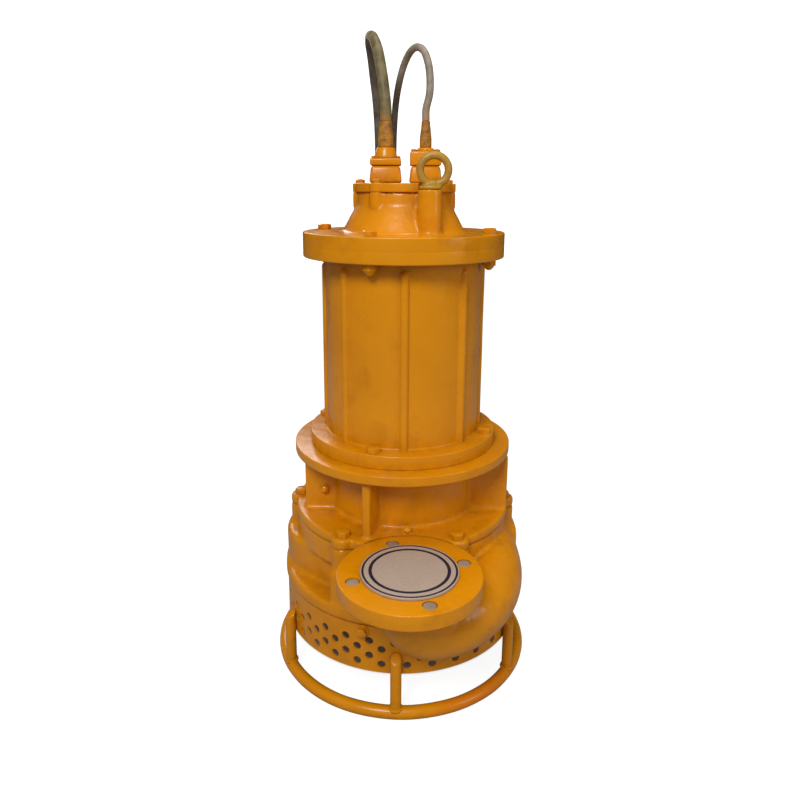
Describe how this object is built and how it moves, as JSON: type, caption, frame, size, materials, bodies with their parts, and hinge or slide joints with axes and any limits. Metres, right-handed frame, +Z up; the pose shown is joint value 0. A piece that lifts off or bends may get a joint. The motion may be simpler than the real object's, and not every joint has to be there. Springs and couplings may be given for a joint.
{
  "type": "submersible slurry pump",
  "caption": "Upright submersible slurry pump: motor on a volute casing with strainer, ring stand, agitator, top discharge flange with loose cover, and two supply cables.",
  "frame": {"origin": "middle of the plan of the pump, without its cables, on the surface that the stand ring rests on", "axes": "+Z up along the shaft; -Y towards the discharge flange, the side that faces the camera; +X to the right of that view"},
  "size_m": [0.4068, 0.889, 0.9723],
  "materials": {
    "enamel": "glossy orange-yellow enamel over cast iron and steel",
    "ochre_enamel": "worn ochre enamel on forged steel",
    "hard_iron": "machined hard iron",
    "bright_steel": "turned and ground steel",
    "core_steel": "laminated electrical steel",
    "winding_copper": "varnished copper wire",
    "seal_face": "lapped hard seal faces",
    "cable_rubber": "matt olive rubber sheath",
    "cover_plastic": "matt moulded plastic"
  },
  "bodies": {
    "pump": {"base_stand": "enamel", "bearing_bracket": "enamel", "casing_bolt_1": "enamel", "casing_bolt_2": "enamel", "casing_bolt_3": "enamel", "casing_bolt_4": "enamel", "casing_bolt_5": "enamel", "casing_bolt_6": "enamel", "eye_bolt": "ochre_enamel", "left_cable": "cable_rubber", "left_cable_clamp": "enamel", "left_cable_coil": "cable_rubber", "left_cable_sleeve": "enamel", "left_gland_body": "enamel", "left_gland_plate": "enamel", "lower_bearing_outer_ring": "bright_steel", "lower_seal_seat": "seal_face", "lower_winding": "winding_copper", "motor_foot_bolt_1": "enamel", "motor_foot_bolt_2": "enamel", "motor_foot_bolt_3": "enamel", "motor_foot_bolt_4": "enamel", "motor_housing": "enamel", "right_cable": "cable_rubber", "right_cable_clamp": "enamel", "right_cable_coil": "cable_rubber", "right_cable_sleeve": "enamel", "right_gland_body": "enamel", "right_gland_plate": "enamel", "seal_housing": "enamel", "stator_core": "core_steel", "strainer": "enamel", "suction_cover": "hard_iron", "terminal_block": "cover_plastic", "terminal_lid": "enamel", "top_flange_bolt_1": "enamel", "top_flange_bolt_2": "enamel", "top_flange_bolt_3": "enamel", "top_flange_bolt_4": "enamel", "upper_bearing_outer_ring": "bright_steel", "upper_cover": "enamel", "upper_seal_seat": "seal_face", "upper_winding": "winding_copper", "volute_casing": "enamel"},
    "rotor": {"shaft": "bright_steel", "rotor_core": "core_steel", "lower_bearing_inner_ring": "bright_steel", "upper_bearing_inner_ring": "bright_steel", "lower_seal_ring": "seal_face", "upper_seal_ring": "seal_face", "impeller": "hard_iron", "agitator": "hard_iron", "agitator_nut": "bright_steel"},
    "lower_balls": {"lower_bearing_balls": "bright_steel"},
    "upper_balls": {"upper_bearing_balls": "bright_steel"},
    "discharge_cover": {"discharge_cover": "cover_plastic"}
  },
  "joints": [
    {"name": "rotor_spin", "type": "hinge", "parent": "pump", "child": "rotor", "pos_m": [0, 0.06227, 0.5], "axis": [0, 0, 1], "continuous": true},
    {"name": "lower_balls_spin", "type": "hinge", "parent": "pump", "child": "lower_balls", "pos_m": [0, 0.06227, 0.3508], "axis": [0, 0, 1], "continuous": true},
    {"name": "upper_balls_spin", "type": "hinge", "parent": "pump", "child": "upper_balls", "pos_m": [0, 0.06227, 0.644], "axis": [0, 0, 1], "continuous": true},
    {"name": "discharge_cover_lift", "type": "slide", "parent": "pump", "child": "discharge_cover", "axis": [0, 0, 1], "range_m": [0, 0.06]}
  ],
  "couplings": [
    {"joint": "lower_balls_spin", "follows": "rotor_spin", "ratio": 0.42},
    {"joint": "upper_balls_spin", "follows": "rotor_spin", "ratio": 0.43}
  ]
}
